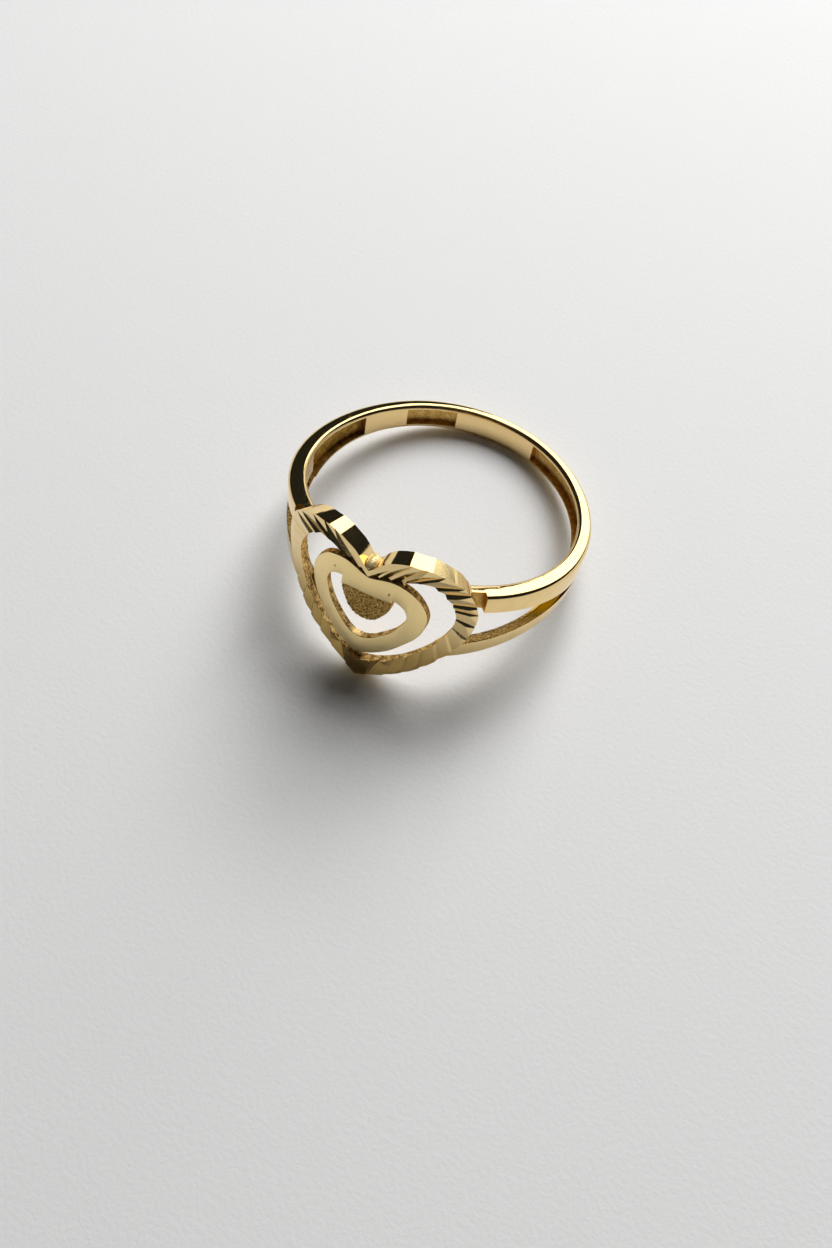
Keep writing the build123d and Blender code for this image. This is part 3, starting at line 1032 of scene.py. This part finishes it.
# Where the grain of the centre heart begins, across its face
GRAIN_TOP = (
    (-2.5, 0.4),
    (-1.7, 0.9),
    (-1.3, 1.12),
    (-0.8, 1.24),
    (0.0, 1.28),
    (0.8, 1.30),
    (1.5, 1.33),
    (2.5, 1.3),
)


def centre_part(limit, rise, metal, low=0.0, high=REACH):
    """The centre heart on one side of the line where its grain begins, once it is raised by rise."""
    part = lean_left(plate(heart_outline(CENTRE_POINTS), FRONT_VIEW, metal, low, high, curved=True))
    line = [(x, z + rise) for x, z in GRAIN_TOP]
    trim(part, plate(line + [(REACH, limit), (-REACH, limit)], FRONT_VIEW, metal))
    return part


def make_centre_heart(grained):
    face_radius = FACE_R + MIDDLE_PROUD - GRAIN_SINK
    piece = centre_part(-REACH, GRAIN_UNDER, grained)
    trim(piece, even_layer(face_radius, grained, grained))
    return roughen(piece, lambda p: from_axis(p, OUTER_Y) > face_radius - GRAIN_REACH)


def make_bead(solder):
    """The bead of solder that fills the cleft, squeezed between the two lobes."""
    bpy.ops.object.select_all(action="DESELECT")
    bpy.ops.mesh.primitive_uv_sphere_add(segments=40, ring_count=20, radius=0.5, location=BEAD_PLACE)
    bpy.ops.transform.resize(value=BEAD_SHAPE)
    piece = settle("bead", solder)
    raise_pattern(piece, BEAD_LUMP, BEAD_UNEVEN)
    return piece


def make_bridge(solder):
    """The bar of solder between the frame's tip and the middle heart's."""
    low = INNER_TIP - BRIDGE_SINK
    high = MIDDLE_TIP + BRIDGE_SINK
    foot = -sin(MIDDLE_TURN) * (WINDOW_TOP - MIDDLE_TIP)
    left = foot - BRIDGE_WIDTH / 2
    right = foot + BRIDGE_WIDTH / 2
    bar = ((left, low), (right, low), (right, high), (left, high))
    piece = plate(bar, FRONT_VIEW, solder, 0, REACH)
    return trim(piece, even_layer(FACE_R - BRIDGE_SET_BACK, solder, solder))


def finish_piece(name, piece, smooth_below=SMOOTH_BELOW):
    """Lays the piece down, smooths it and hands it to the frame."""
    piece.name = name
    piece.data.transform(LAID)
    select_only(piece)
    bpy.ops.object.shade_smooth_by_angle(angle=smooth_below)
    evened = piece.modifiers.new("even_shading", "WEIGHTED_NORMAL")
    evened.keep_sharp = True
    bpy.ops.object.modifier_apply(modifier=evened.name)
    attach(piece, "root")
    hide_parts("heart_ring")


def lay_floor():
    bpy.ops.mesh.primitive_plane_add(size=FLOOR_SIZE)
    floor = bpy.context.object
    floor.name = "floor"
    floor.data.materials.append(paper())


def softbox(name, azimuth, elevation, distance, size, strength, mirrored):
    """A square-edged studio light that faces the ring, strength being its brightness when seen."""
    light = bpy.data.lights.new(name, "AREA")
    light.shape = "RECTANGLE"
    width, height = size
    light.size = width
    light.size_y = height
    light.energy = strength * pi * width * height
    lamp = bpy.data.objects.new(name, light)
    lamp.visible_glossy = mirrored
    flat = distance * cos(radians(elevation))
    rise = distance * sin(radians(elevation))
    lamp.location = (flat * cos(radians(azimuth)), flat * sin(radians(azimuth)), rise)
    lamp.rotation_euler = (-lamp.location).to_track_quat("-Z", "Y").to_euler()
    bpy.context.scene.collection.objects.link(lamp)


def dark_studio():
    """A dark room: a key behind the ring that it mirrors, one that only lights, a weak one above."""
    world = bpy.data.worlds.new("room")
    bpy.context.scene.world = world
    tree = Tree(world)
    glow = tree.node("ShaderNodeBackground", None, {"Color": (0.9, 0.95, 1.0, 1.0), "Strength": 0.02})
    tree.node("ShaderNodeOutputWorld", None, {"Surface": glow})
    for light in LIGHTS:
        softbox(*light)


def camera():
    lens = bpy.data.cameras.new("camera")
    lens.lens = CAMERA_LENS
    lens.sensor_width = SENSOR_WIDTH
    lens.clip_start = CLIP_START
    viewer = bpy.data.objects.new("camera", lens)
    viewer.location = CAMERA_PLACE * MM
    viewer.rotation_euler = Euler([radians(turn) for turn in CAMERA_TURN])
    bpy.context.scene.collection.objects.link(viewer)
    bpy.context.scene.camera = viewer


lay_floor()
dark_studio()
camera()
bpy.context.scene.view_settings.view_transform = "Standard"

polished = polished_gold()
facets = facet_gold()
satin = satin_gold()
cast = cast_gold("cast_gold", (0.66, 0.38, 0.09), (0.97, 0.68, 0.24))
walls = cast_gold("wall_gold", (0.17, 0.08, 0.015), (0.98, 0.70, 0.28))
# Painted shade: a darker copy of the cast metal, for the left pocket
pocket_shade = cast_gold("shaded_cast_gold", (0.24, 0.12, 0.02), (0.62, 0.38, 0.09))
grained = grained_gold()
solder = solder_gold()
finish_piece("shank", make_shank(polished, inner_gold(), cast, pocket_shade, ledge_gold()))
finish_piece("heart_frame", make_frame(facets, polished, satin, walls), FRAME_SMOOTH_BELOW)
finish_piece("middle_heart", make_middle_heart(satin, walls))
finish_piece("centre_heart", make_centre_heart(grained))
finish_piece("cleft_bead", make_bead(solder))
finish_piece("solder_bridge", make_bridge(solder))
